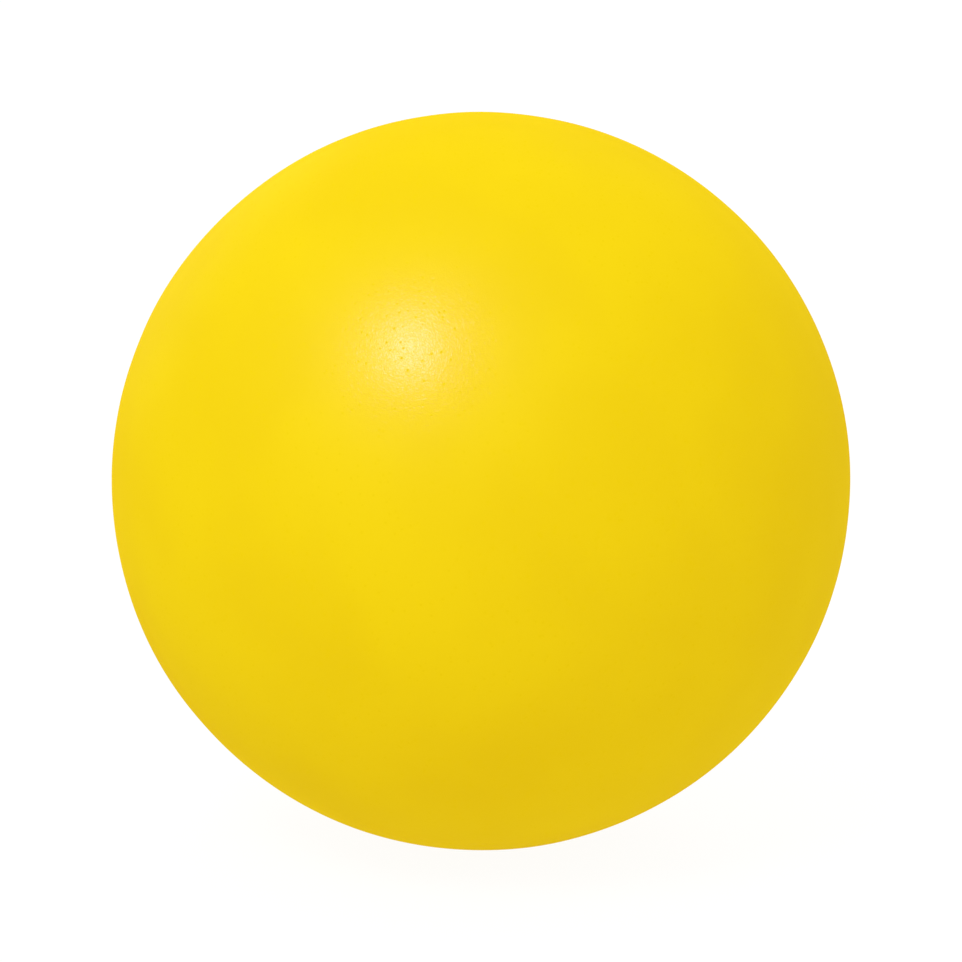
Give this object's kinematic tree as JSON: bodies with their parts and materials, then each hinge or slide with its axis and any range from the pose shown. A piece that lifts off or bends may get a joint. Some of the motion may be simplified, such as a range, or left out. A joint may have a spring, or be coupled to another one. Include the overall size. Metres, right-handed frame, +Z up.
{
  "type": "stress ball",
  "caption": "Soft moulded foam ball with a dense satin skin and a small trimmed flat to rest on, squeezed in the hand.",
  "frame": {"origin": "centre of the ball", "axes": "+Z up, away from the trimmed flat and through both mould halves; the ball is round about it, so X and Y may point anywhere across it"},
  "size_m": [0.063, 0.063, 0.0627],
  "materials": {
    "coat": "satin",
    "core_foam": "matte",
    "cut_foam": "matte"
  },
  "bodies": {
    "lower_half": {"lower_skin": "coat", "foam_core": "core_foam", "sprue_stub": "cut_foam"},
    "upper_half": {"upper_skin": "coat"}
  },
  "joints": [
    {"name": "squeeze", "type": "slide", "parent": "lower_half", "child": "upper_half", "axis": [0, 0, -1], "range_m": [0, 0.028], "stiffness_N_per_m": 1200, "deforming": ["foam_core", "upper_skin", "lower_skin"]}
  ]
}
